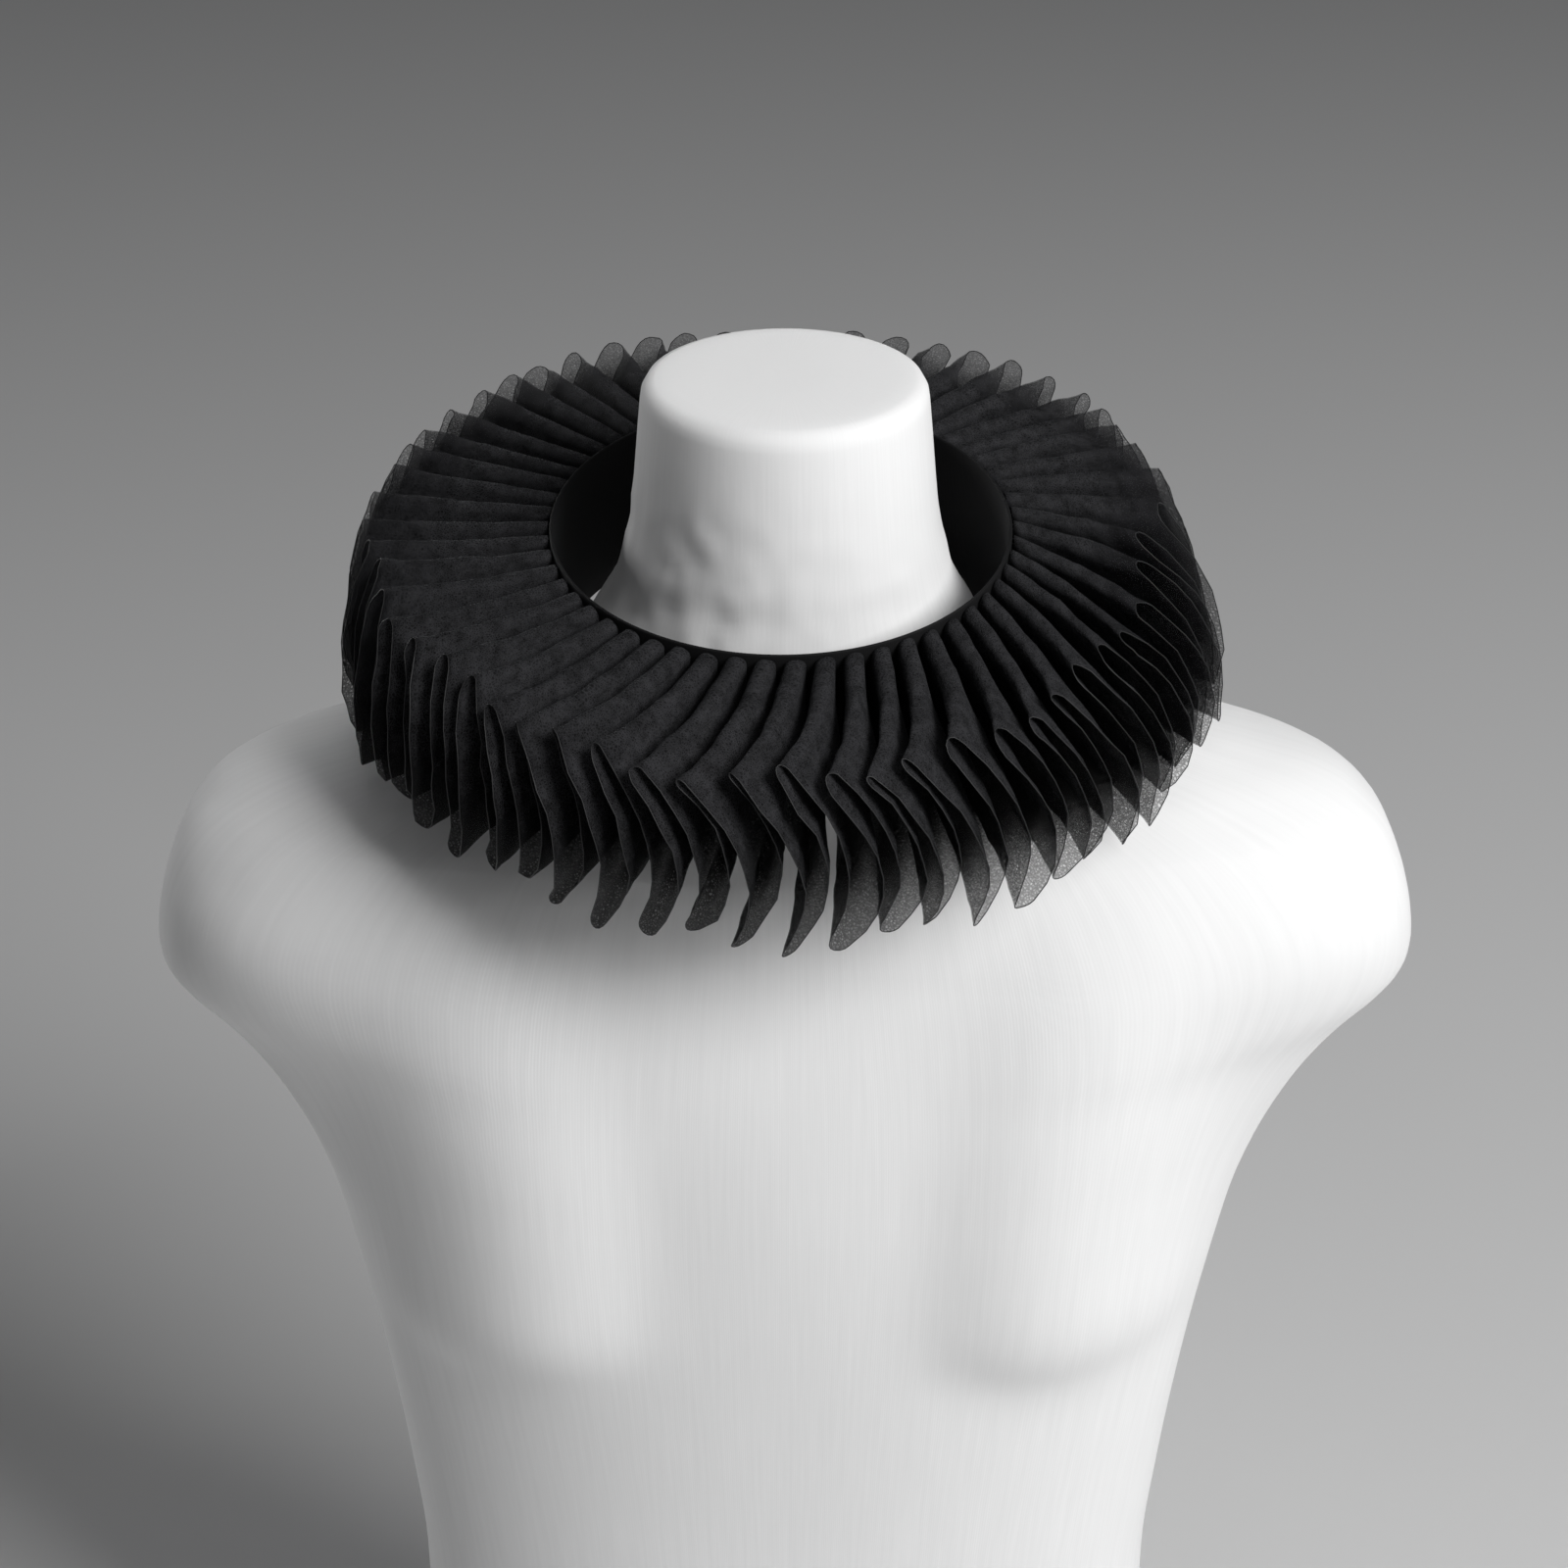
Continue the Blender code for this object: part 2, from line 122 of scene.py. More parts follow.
def makeNet():
    # Black nylon tulle, machine-knitted in small cells and starched: dull and see-through, with paler and darker
    # patches where its layers lie on each other, and painted shade that makes it blacker lower down in each pleat
    net = {
        "dark": "#0b0b0c",
        "pale": "#2b2b2d",
        "patch": 0.007,
        "paintedShadeStrength": 0.7,  # painted shade: it is drawn blacker down between the pleats
        "cell": 0.0009,  # real cells are about 0.6 mm, drawn coarser so that they show
        "edgeAlpha": 0.24,  # of one layer, where few layers lie behind each other
        "innerAlpha": 0.80,
        "thread": 0.36,  # how much denser the threads are than the middle of a cell
        "bump": 0.00008,
    }
    material, tree, shader = newMaterial("blackNylonTulle", {
        "Roughness": 0.85,
        "Specular IOR Level": 0.15,
        "Sheen Weight": 0.04,
        "Sheen Roughness": 0.6,
        "Sheen Tint": paint("#8c8f94"),
    })
    where = addNode(tree, "ShaderNodeTexCoord")
    patches = addNode(tree, "ShaderNodeTexNoise",
                      {"Scale": 1 / net["patch"], "Detail": 4.0, "Roughness": 0.75},
                      {"Vector": where.outputs["UV"]})
    contrast = addNode(tree, "ShaderNodeMapRange", {"From Min": 0.32, "From Max": 0.68},
                       {"Value": patches.outputs["Fac"]})
    cells = addNode(tree, "ShaderNodeTexVoronoi",
                    {"feature": "DISTANCE_TO_EDGE", "Scale": 1 / net["cell"]},
                    {"Vector": where.outputs["UV"]})
    threads = addNode(tree, "ShaderNodeMapRange",
                      {"From Min": 0.05, "From Max": 0.38, "To Min": 0.5, "To Max": -0.5},
                      {"Value": cells.outputs["Distance"]})
    # painted shade: a per-point attribute darkens the net's colour lower down in each pleat, where shade falls
    # between the pleats
    paintedShade = addNode(tree, "ShaderNodeAttribute", {"attribute_name": "paintedShade"})
    patchesAndPaintedShade = addNode(tree, "ShaderNodeMath", {"operation": "MULTIPLY_ADD", 1: -net["paintedShadeStrength"]},
                   {0: paintedShade.outputs["Fac"], 2: contrast.outputs[0]})
    shade = addNode(tree, "ShaderNodeMath",
                    {"operation": "MULTIPLY_ADD", 1: 0.5, "use_clamp": True},
                    {0: threads.outputs[0], 2: patchesAndPaintedShade.outputs[0]})
    colour = addNode(tree, "ShaderNodeMix",
                     {"data_type": "RGBA", 6: paint(net["dark"]), 7: paint(net["pale"])},
                     {0: shade.outputs[0]})
    tree.links.new(colour.outputs[2], shader.inputs["Base Color"])
    clear = addNode(tree, "ShaderNodeAttribute", {"attribute_name": "clear"})
    density = addNode(tree, "ShaderNodeMapRange",
                      {"To Min": net["innerAlpha"], "To Max": net["edgeAlpha"]},
                      {"Value": clear.outputs["Fac"]})
    alpha = addNode(tree, "ShaderNodeMath",
                    {"operation": "MULTIPLY_ADD", 1: net["thread"], "use_clamp": True},
                    {0: threads.outputs[0], 2: density.outputs[0]})
    tree.links.new(alpha.outputs[0], shader.inputs["Alpha"])
    bump = addNode(tree, "ShaderNodeBump", {"Strength": 0.6, "Distance": net["bump"]},
                   {"Height": threads.outputs[0]})
    tree.links.new(bump.outputs[0], shader.inputs["Normal"])
    return material


def makeHemThread():
    # Rolled hem: the net's edge turned under and overlocked with black polyester thread, so it is a
    # solid, slightly shiny line
    material, tree, shader = newMaterial("blackOverlockThread", {
        "Base Color": paint("#161617"),
        "Roughness": 0.5,
        "Sheen Weight": 0.12,
        "Sheen Tint": paint("#a0a2a6"),
    })
    where = addNode(tree, "ShaderNodeTexCoord")
    wraps = addNode(tree, "ShaderNodeTexNoise", {"Scale": 1400.0, "Detail": 1.0},
                    {"Vector": where.outputs["Object"]})
    bump = addNode(tree, "ShaderNodeBump", {"Strength": 0.6, "Distance": 0.0001},
                   {"Height": wraps.outputs["Fac"]})
    tree.links.new(bump.outputs[0], shader.inputs["Normal"])
    return material


def makeBandCloth():
    # Black cotton sateen, woven, cut on the straight and pressed: matt, with a dim crosswise grain
    material, tree, shader = newMaterial("blackCottonSateen", {
        "Base Color": paint("#0b0b0c"),
        "Roughness": 0.75,
        "Specular IOR Level": 0.2,
        "Sheen Weight": 0.06,
        "Sheen Tint": paint("#7c7f84"),
    })
    where = addNode(tree, "ShaderNodeTexCoord")
    warp = addNode(tree, "ShaderNodeTexWave", {"bands_direction": "X", "Scale": bandScale(0.0007)},
                   {"Vector": where.outputs["UV"]})
    weft = addNode(tree, "ShaderNodeTexWave", {"bands_direction": "Y", "Scale": bandScale(0.0005)},
                   {"Vector": where.outputs["UV"]})
    both = addNode(tree, "ShaderNodeMath", {"operation": "ADD"},
                   {0: warp.outputs["Fac"], 1: weft.outputs["Fac"]})
    bump = addNode(tree, "ShaderNodeBump", {"Strength": 0.5, "Distance": 0.00005},
                   {"Height": both.outputs[0]})
    tree.links.new(bump.outputs[0], shader.inputs["Normal"])
    return material


def makeFormCover():
    # White cotton jersey, knitted, pulled tight over a hard form: matt white with fine upright ribs
    cover = {
        "colour": "#efefef",
        "dull": "#e5e5e5",
        "rib": 0.0012,  # real ribs are about 0.8 mm, drawn coarser so that they show
        "ribHeight": 0.00005,
    }
    material, tree, shader = newMaterial("whiteCottonJersey", {
        "Roughness": 0.9,
        "Specular IOR Level": 0.2,
        "Sheen Weight": 0.12,
        "Sheen Roughness": 0.5,
    })
    where = addNode(tree, "ShaderNodeTexCoord")
    ribs = addNode(tree, "ShaderNodeTexWave",
                   {"bands_direction": "X", "Scale": bandScale(cover["rib"]),
                    "Distortion": 0.6, "Detail": 1.0, "Detail Scale": 0.3},
                   {"Vector": where.outputs["UV"]})
    long = addNode(tree, "ShaderNodeMapping", {"Scale": (1.0, 0.05, 1.0)},
                   {"Vector": where.outputs["UV"]})
    slubs = addNode(tree, "ShaderNodeTexNoise", {"Scale": 420.0, "Detail": 2.0},
                    {"Vector": long.outputs[0]})
    grain = addNode(tree, "ShaderNodeMath", {"operation": "MULTIPLY"},
                    {0: ribs.outputs["Fac"], 1: slubs.outputs["Fac"]})
    colour = addNode(tree, "ShaderNodeMix",
                     {"data_type": "RGBA", 6: paint(cover["dull"]), 7: paint(cover["colour"])},
                     {0: slubs.outputs["Fac"]})
    tree.links.new(colour.outputs[2], shader.inputs["Base Color"])
    bump = addNode(tree, "ShaderNodeBump", {"Strength": 0.4, "Distance": cover["ribHeight"]},
                   {"Height": grain.outputs[0]})
    tree.links.new(bump.outputs[0], shader.inputs["Normal"])
    return material


def makeBlackSteel():
    # Hooks and bars: pressed steel, japanned black, so it is smooth, dark and softly shiny
    material, tree, shader = newMaterial("japannedSteel", {
        "Base Color": paint("#1a1a1b"),
        "Roughness": 0.35,
        "Metallic": 0.6,
    })
    where = addNode(tree, "ShaderNodeTexCoord")
    wear = addNode(tree, "ShaderNodeTexNoise", {"Scale": 900.0, "Detail": 3.0},
                   {"Vector": where.outputs["Object"]})
    rough = addNode(tree, "ShaderNodeMapRange", {"To Min": 0.28, "To Max": 0.48},
                    {"Value": wear.outputs["Fac"]})
    tree.links.new(rough.outputs[0], shader.inputs["Roughness"])
    return material


def makeFloorPaint():
    # Seamless paper floor: pale, matt and even
    material, tree, shader = newMaterial("paleFloorPaper", {
        "Base Color": paint("#d6d6d6"),
        "Roughness": 0.9,
        "Specular IOR Level": 0.2,
    })
    return material


netCloth = makeNet()
hemThread = makeHemThread()
bandCloth = makeBandCloth()
formCloth = makeFormCover()
blackSteel = makeBlackSteel()
floorPaint = makeFloorPaint()
print("materials made")


# ---- pieces
def finishPiece(name, builder, material, sharpAngle=60.0):
    mesh = bpy.data.meshes.new(name)
    builder.to_mesh(mesh)
    builder.free()
    mesh.materials.append(material)
    mesh.shade_smooth()
    mesh.set_sharp_from_angle(angle=math.radians(sharpAngle))
    piece = bpy.data.objects.new(name, mesh)
    bpy.context.scene.collection.objects.link(piece)
    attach(piece, "root")
    return piece


# ---- frill: one strip of net, cut straight, set in round pleats and sewn to the band by its inner
# edge. A flat grid is the strip, and each of its points is then moved to its place in the pleats.
frill = {
    "pleats": 56,
    "wall": 0.00028,
    "top": 0.0010,
    "bottom": 0.0500,
    "opening": 2.0,
    "backCrowding": 0.08,
    "bandSpread": (None, 1.35, 0.65),
    "bandFoldDepth": 0.80,
    "foldDepth": 1.30,
    "spreadPower": 1.3,
    "panelCurve": 2.4,
    "lowerLean": 0.55,
    "radiusWobble": 0.0022,
    "heightWobble": 0.0018,
    "azimuthWobble": 0.10,
    "wobbleStep": 2.4,
    "arcSteps": 8,
    "panelSteps": 8,
    "rows": 20,
    "crinkle": 0.0011,
    "crinkleSize": 0.0095,
}
# The free edge: its radius and height at the upper folds, half way down and at the lower folds, and
# the degrees that each has swung round from where the pleat leaves the band
edgeColumns = (
    "azimuth",
    "topRadius", "middleRadius", "bottomRadius",
    "topHeight", "bottomHeight",
    "topSwing", "middleSwing", "bottomSwing",
)
edgeSections = (
    (-180, 0.131, 0.142, 0.142, -0.003, -0.059, -2.0, 0.0, -3.0),
    (-140, 0.137, 0.144, 0.145, -0.003, -0.060, -2.5, 0.0, -2.0),
    (-100, 0.138, 0.145, 0.147, -0.003, -0.065, -5.0, 1.0, 1.0),
    (-75, 0.131, 0.143, 0.141, -0.005, -0.066, -7.0, 1.0, 1.0),
    (-45, 0.123, 0.139, 0.136, -0.006, -0.064, -8.0, 1.0, -1.0),
    (-20, 0.127, 0.138, 0.138, -0.006, -0.064, -10.0, -1.0, -4.0),
    (0, 0.129, 0.139, 0.141, -0.006, -0.064, -11.0, -2.0, -6.0),
    (15, 0.126, 0.140, 0.141, -0.006, -0.063, -11.5, -3.5, -8.0),
    (33, 0.123, 0.141, 0.142, -0.006, -0.062, -14.8, -7.0, -10.0),
    (42, 0.122, 0.141, 0.142, -0.006, -0.061, -13.5, -7.0, -11.0),
    (60, 0.117, 0.140, 0.141, -0.006, -0.061, -14.5, -9.0, -12.0),
    (80, 0.115, 0.140, 0.140, -0.006, -0.062, -13.5, -10.0, -14.0),
    (97, 0.117, 0.142, 0.145, -0.005, -0.063, -8.0, -8.0, -13.0),
    (110, 0.131, 0.144, 0.146, -0.003, -0.062, -3.0, -4.0, -10.0),
    (140, 0.137, 0.144, 0.145, -0.003, -0.060, -5.0, -1.0, -6.0),
    (180, 0.131, 0.142, 0.142, -0.003, -0.059, -2.0, 0.0, -3.0),
)

# How wide the upper and the lower folds stand at the free edge, as a share of an even pleat's fold
spreadSections = (
    (-180, 1.40, 0.70), (-110, 1.35, 0.70), (-75, 1.20, 0.72), (-50, 1.00, 0.74), (-25, 0.65, 0.76),
    (0, 0.62, 0.76), (25, 0.75, 0.76), (45, 0.95, 0.78), (95, 1.05, 0.80), (130, 0.90, 0.80),
    (180, 1.40, 0.70),
)


def edgeAt(azimuth):
    degrees = max(-180.0, min(180.0, math.degrees(azimuth)))
    for low, high in zip(edgeSections, edgeSections[1:]):
        if degrees <= high[0]:
            share = eased((degrees - low[0]) / (high[0] - low[0]))
            return {c: mix(a, b, share) for c, a, b in zip(edgeColumns, low, high)}


def wobble(fold, phase):
    return math.sin(frill["wobbleStep"] * fold + phase)


def foldAzimuth(fold):
    span = math.pi - math.radians(frill["opening"]) / 2
    even = span * (fold / frill["pleats"] - 1)
    return even + frill["backCrowding"] * math.sin(even * math.pi / span)


def bowed(bottom, middle, top, share):
    return mix(bottom, top, share) + 4 * (middle - (bottom + top) / 2) * share * (1 - share)


def frillPoint(azimuth, shareUp, shareOut, fold):
    edge = edgeAt(azimuth)
    inner = ruff["bandRadius"] + ruff["bandWall"] + ruff["seamGap"]
    outer = bowed(edge["bottomRadius"], edge["middleRadius"], edge["topRadius"], shareUp)
    outer += frill["radiusWobble"] * wobble(fold, 1.0)
    swing = bowed(edge["bottomSwing"], edge["middleSwing"], edge["topSwing"], shareUp)
    innerHeight = mix(-frill["bottom"], -frill["top"], shareUp)
    outerHeight = mix(edge["bottomHeight"], edge["topHeight"], shareUp)
    outerHeight += frill["heightWobble"] * wobble(fold, 4.0)
    height = mix(innerHeight, outerHeight, shareOut)
    turned = azimuth + math.radians(swing) * shareOut
    return around(mix(inner, outer, shareOut), turned, height)


def spreadAt(azimuth, column):
    degrees = max(-180.0, min(180.0, math.degrees(azimuth)))
    for low, high in zip(spreadSections, spreadSections[1:]):
        if degrees <= high[0]:
            return mix(low[column], high[column], eased((degrees - low[0]) / (high[0] - low[0])))


def leanAt(edge, atTop, radius, tall, shareOut):
    # the angle that the free edge runs at there, from how fast the swing grows down the pleat
    bow = 4 * (edge["middleSwing"] - (edge["bottomSwing"] + edge["topSwing"]) / 2)
    growth = edge["topSwing"] - edge["bottomSwing"] + (-bow if atTop else bow)
    return math.atan(math.radians(growth) * shareOut * radius / tall)


def frillLine(shareOut):
    # up and down through every pleat: (azimuth, share of the height, fold) of each point
    lastFold = 2 * frill["pleats"]
    step = math.pi / frill["pleats"] * frill["azimuthWobble"] * shareOut
    folds = [foldAzimuth(k) + step * wobble(k, 2.0) for k in range(lastFold + 1)]
    panels = [(a + b) / 2 for a, b in zip(folds, folds[1:])]
    line = [(panels[0], 0.0, 0.0)]
    for fold in range(1, lastFold):
        atTop = fold % 2 == 1
        edge = edgeAt(folds[fold])
        radius = mix(ruff["bandRadius"], (edge["topRadius"] + edge["bottomRadius"]) / 2, shareOut)
        tall = mix(frill["bottom"], edge["topHeight"] - edge["bottomHeight"], shareOut)
        column = 1 if atTop else 2
        opened = shareOut ** frill["spreadPower"]
        spread = mix(frill["bandSpread"][column], spreadAt(folds[fold], column), opened)
        foldDepth = mix(frill["bandFoldDepth"], frill["foldDepth"], opened)
        halfWidth = (panels[fold] - panels[fold - 1]) / 2 * spread
        centre = (panels[fold] + panels[fold - 1]) / 2
        lean = leanAt(edge, atTop, radius, tall, shareOut) * (1.0 if atTop else frill["lowerLean"])
        depth = foldDepth * halfWidth * radius / tall * math.cos(lean)
        rise = -halfWidth * radius / tall * math.sin(lean) * math.cos(lean)
        level = 1 - depth - abs(rise) if atTop else depth + abs(rise)
        before, previous = line[-1][0], line[-1][1]
        for k in range(1, frill["panelSteps"]):
            share = k / frill["panelSteps"]
            turned = share ** frill["panelCurve"] if not atTop else 1 - (1 - share) ** frill["panelCurve"]
            line.append((mix(before, centre - halfWidth, turned), mix(previous, level - rise, share), fold - 0.5))
        for k in range(frill["arcSteps"] + 1):
            turn = math.pi * k / frill["arcSteps"]
            across = -math.cos(turn)
            out = depth * math.sin(turn)
            up = level + rise * across + (out if atTop else -out)
            place = fold + (k / frill["arcSteps"] - 0.5) * 0.5
            line.append((centre + halfWidth * across, up, place))
    previous = line[-1][1]
    for k in range(1, frill["panelSteps"] + 1):
        line.append((panels[-1], mix(previous, 0.0, k / frill["panelSteps"]), float(lastFold)))
    return line


def crinkled(point, shareOut):
    # stiff net never lies quite smooth: it waves by half a millimetre, more towards its free edge
    wave = noise.noise_vector(point / frill["crinkleSize"])
    finer = noise.noise_vector(point / frill["crinkleSize"] * 2.6 + Vector((7.0, 3.0, 1.0)))
    return point + (wave + finer * 0.35) * frill["crinkle"] * mix(0.3, 1.0, shareOut)


def clearAt(azimuth, up, out):
    # where few layers lie behind each other: the ends of the lower folds, and the upper ones behind; the lower
    # ends are also made clearer on the lit right side, as painted light
    degrees = math.degrees(azimuth)
    behind = eased((abs(degrees) - 60) / 35)
    # painted light: the lower fold ends are drawn clearer towards the right, where the light comes from, and
    # denser at the front and left front, where they lie in shade; they are drawn clearer behind on the left too
    lower = mix(0.5, 1.0, eased((degrees + 5) / 45) + eased((-degrees - 95) / 40))
    lower *= eased((0.52 - up) / 0.30) * eased((out - 0.45) / 0.40)
    upper = eased((up - 0.70) / 0.25) * eased((out - 0.55) / 0.40) * behind
    middle = 0.8 * eased((out - 0.78) / 0.20) * behind
    return max(lower, upper, middle)


def makeFrill():
    rows = frill["rows"]
    lines, clear, paintedShades = [], [], []
    for row in range(rows + 1):
        shareOut = row / rows
        bends = frillLine(shareOut)
        lines.append([crinkled(frillPoint(a, up, shareOut, fold), shareOut) for a, up, fold in bends])
        clear.append([clearAt(a, up, shareOut) for a, up, fold in bends])
        # painted shade: how much darker the net is drawn, rising lower down in each pleat
        paintedShades.append([eased((0.85 - up) / 0.5) for a, up, fold in bends])
    columns = len(lines[0]) - 1
    along = [0.0]
    for a, b in zip(lines[-1], lines[-1][1:]):
        along.append(along[-1] + (b - a).length)
    depth = sum((a - b).length for a, b in zip(lines[0], lines[-1])) / (columns + 1)
    builder = bmesh.new()
    bmesh.ops.create_grid(builder, x_segments=columns, y_segments=rows, size=0.5)
    cut = builder.loops.layers.uv.new("cut")
    for face in builder.faces:
        for corner in face.loops:
            column = round((corner.vert.co.x + 0.5) * columns)
            corner[cut].uv = (along[column], (corner.vert.co.y + 0.5) * depth)
    clearness = builder.verts.layers.float.new("clear")
    paintedShadeLayer = builder.verts.layers.float.new("paintedShade")
    for vert in builder.verts:
        column = round((vert.co.x + 0.5) * columns)
        row = round((vert.co.y + 0.5) * rows)
        vert[clearness] = clear[row][column]
        vert[paintedShadeLayer] = paintedShades[row][column]
        vert.co = ruffPlace @ lines[row][column]
    piece = finishPiece("netFrill", builder, netCloth, 180.0)
    wall = piece.modifiers.new("wall", "SOLIDIFY")
    wall.thickness = frill["wall"]
    wall.offset = 0.0
    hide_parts("frill")
    return piece, [ruffPlace @ p for p in lines[-1]], along[-1], depth


netFrill, freeEdge, frillLength, frillDepth = makeFrill()
print(f"frill pleated from {frillLength:.3f} m x {frillDepth:.4f} m of net")


# ---- rolled hem: a fine thread-covered edge all along the strip's free side
hem = {"diameter": 0.00034, "sides": 1}


def makeHem():
    line = bpy.data.curves.new("hemLine", "CURVE")
    line.dimensions = "3D"
    line.bevel_depth = hem["diameter"] / 2
    line.bevel_resolution = hem["sides"]
    line.use_fill_caps = True
    spline = line.splines.new("POLY")
    spline.points.add(len(freeEdge) - 1)
    for point, place in zip(spline.points, freeEdge):
        point.co = (*place, 1.0)
    holder = bpy.data.objects.new("hemLine", line)
    mesh = bpy.data.meshes.new_from_object(holder)
    builder = bmesh.new()
    builder.from_mesh(mesh)
    bpy.data.objects.remove(holder)
    bpy.data.curves.remove(line)
    bpy.data.meshes.remove(mesh)
    return finishPiece("rolledHem", builder, hemThread, 180.0)


rolledHem = makeHem()
print("hem rolled")


# ---- neckband: a strip of doubled cloth standing round the neck, its ends a hair apart behind
band = {"opening": 0.0010, "steps": 160, "rowCuts": 7, "edgeSegments": 16}


def makeBand():
    wall = ruff["bandWall"]
    radius = ruff["bandRadius"] + wall / 2
    halfTall = ruff["bandHeight"] / 2 - wall / 2
    halfOpening = band["opening"] / 2 / ruff["bandRadius"]
    builder = bmesh.new()
    cut = builder.loops.layers.uv.new("cut")
    bmesh.ops.create_circle(builder, cap_ends=False, segments=band["edgeSegments"], radius=wall / 2)
    bmesh.ops.rotate(builder, verts=builder.verts[:], cent=(0, 0, 0),
                     matrix=Matrix.Rotation(math.radians(180 / band["edgeSegments"]), 3, "Z"))
    bmesh.ops.rotate(builder, verts=builder.verts[:], cent=(0, 0, 0),
                     matrix=Matrix.Rotation(math.pi / 2, 3, "Y"))
    for vert in builder.verts:
        vert.co.z += halfTall if vert.co.z > 0 else -halfTall
    sides = [e for e in builder.edges if abs(e.verts[0].co.z - e.verts[1].co.z) > halfTall]
    bmesh.ops.subdivide_edges(builder, edges=sides, cuts=band["rowCuts"])
    bmesh.ops.translate(builder, verts=builder.verts[:], vec=(0, -radius, -ruff["bandHeight"] / 2))
    bmesh.ops.rotate(builder, verts=builder.verts[:], cent=(0, 0, 0),
                     matrix=Matrix.Rotation(-math.pi + halfOpening, 3, "Z"))
    first = builder.edges[:]
    swept = bmesh.ops.spin(builder, geom=builder.verts[:] + first, cent=(0, 0, 0), axis=(0, 0, 1),
                           angle=math.tau - 2 * halfOpening, steps=band["steps"])
    last = [g for g in swept["geom_last"] if isinstance(g, bmesh.types.BMEdge)]
    bmesh.ops.contextual_create(builder, geom=first)
    bmesh.ops.contextual_create(builder, geom=last)
    bmesh.ops.recalc_face_normals(builder, faces=builder.faces[:])
    for face in builder.faces:
        for corner in face.loops:
            place = corner.vert.co
            corner[cut].uv = (math.atan2(place.x, -place.y) * radius, place.z)
    bmesh.ops.transform(builder, matrix=ruffPlace, verts=builder.verts[:])
    piece = finishPiece("neckStrip", builder, bandCloth, 50.0)
    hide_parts("neckband")
    return piece, math.tau * radius - band["opening"]


neckStrip, bandLength = makeBand()
print(f"neckband folded, {bandLength:.4f} m long")


# ---- stitches: each pleat's upper and lower fold is caught to the band with one loop of thread
stitch = {"loop": 0.0009, "thread": 0.00022, "sides": 5, "steps": 6, "dip": 0.0016}


def makeStitches():
    builder = bmesh.new()
    loopRadius = ruff["bandRadius"] + ruff["bandWall"] + ruff["seamGap"] / 2
    for fold in range(1, 2 * frill["pleats"]):
        height = -frill["top"] - stitch["dip"]
        if fold % 2 == 0:
            height = -frill["bottom"] + stitch["dip"]
        ring = bmesh.ops.create_circle(builder, cap_ends=False, segments=stitch["sides"],
                                       radius=stitch["thread"])
        verts = ring["verts"]
        bmesh.ops.translate(builder, verts=verts, vec=(stitch["loop"], 0, 0))
        edges = list({e for v in verts for e in v.link_edges})
        bmesh.ops.spin(builder, geom=verts + edges, cent=(0, 0, 0), axis=(0, 1, 0), use_merge=True,
                       angle=math.tau, steps=stitch["steps"] * 2)
        made = [v for v in builder.verts if not v.tag]
        place = around(loopRadius, foldAzimuth(fold), height)
        turn = Matrix.Rotation(foldAzimuth(fold) + math.pi / 2, 4, "Z")
        bmesh.ops.transform(builder, matrix=Matrix.Translation(place) @ turn, verts=made)
        for v in made:
            v.tag = True
    bmesh.ops.recalc_face_normals(builder, faces=builder.faces[:])
    bmesh.ops.transform(builder, matrix=ruffPlace, verts=builder.verts[:])
    return finishPiece("gatherStitches", builder, hemThread, 180.0)


gatherStitches = makeStitches()
print("pleats caught down")


# ---- dress form: the neck and the torso are two stacks of sections, and each ring of the cover is
# their smooth union. The cover is a tube of jersey, closed up the back and gathered over the top.
form = {
    "around": 200,
    "ringStep": 0.0036,
    "unionPower": 4.0,
    "torsoAxis": 0.0020,
    "capSlope": 4.5,
    "slopeFrom": 0.545,
    "slopeTo": 0.600,
    "bustFrom": 0.0500,
    "bustEdge": 3.0,
    "softening": 0.006,
    "dent": 0.0009,
    "dentSize": 0.009,
    "girth": 1.0,
}
neckColumns = ("height", "halfWidth", "front", "back", "axis")
neckSections = (
    (0.440, 0.0300, 0.0300, 0.0320, 0.0000),
    (0.470, 0.0500, 0.0560, 0.0660, -0.0010),
    (0.500, 0.0600, 0.0620, 0.0780, -0.0020),
    (0.513, 0.0632, 0.0600, 0.0790, -0.0030),
    (0.524, 0.0662, 0.0590, 0.0775, -0.0040),
    (0.533, 0.0655, 0.0570, 0.0745, -0.0050),
    (0.540, 0.0630, 0.0556, 0.0695, -0.0060),
    (0.547, 0.0587, 0.0542, 0.0627, -0.0070),
    (0.555, 0.0550, 0.0525, 0.0565, -0.0080),
    (0.562, 0.0533, 0.0515, 0.0538, -0.0086),
    (0.570, 0.0512, 0.0507, 0.0515, -0.0093),
    (0.580, 0.0497, 0.0500, 0.0500, -0.0100),
    (0.608, 0.0471, 0.0480, 0.0480, -0.0115),
    (0.616, 0.0462, 0.0472, 0.0472, -0.0118),
    (0.619, 0.0445, 0.0455, 0.0455, -0.0118),
    (0.620, 0.0415, 0.0425, 0.0425, -0.0118),
)
torsoColumns = ("height", "halfWidth", "front", "back", "squareness")
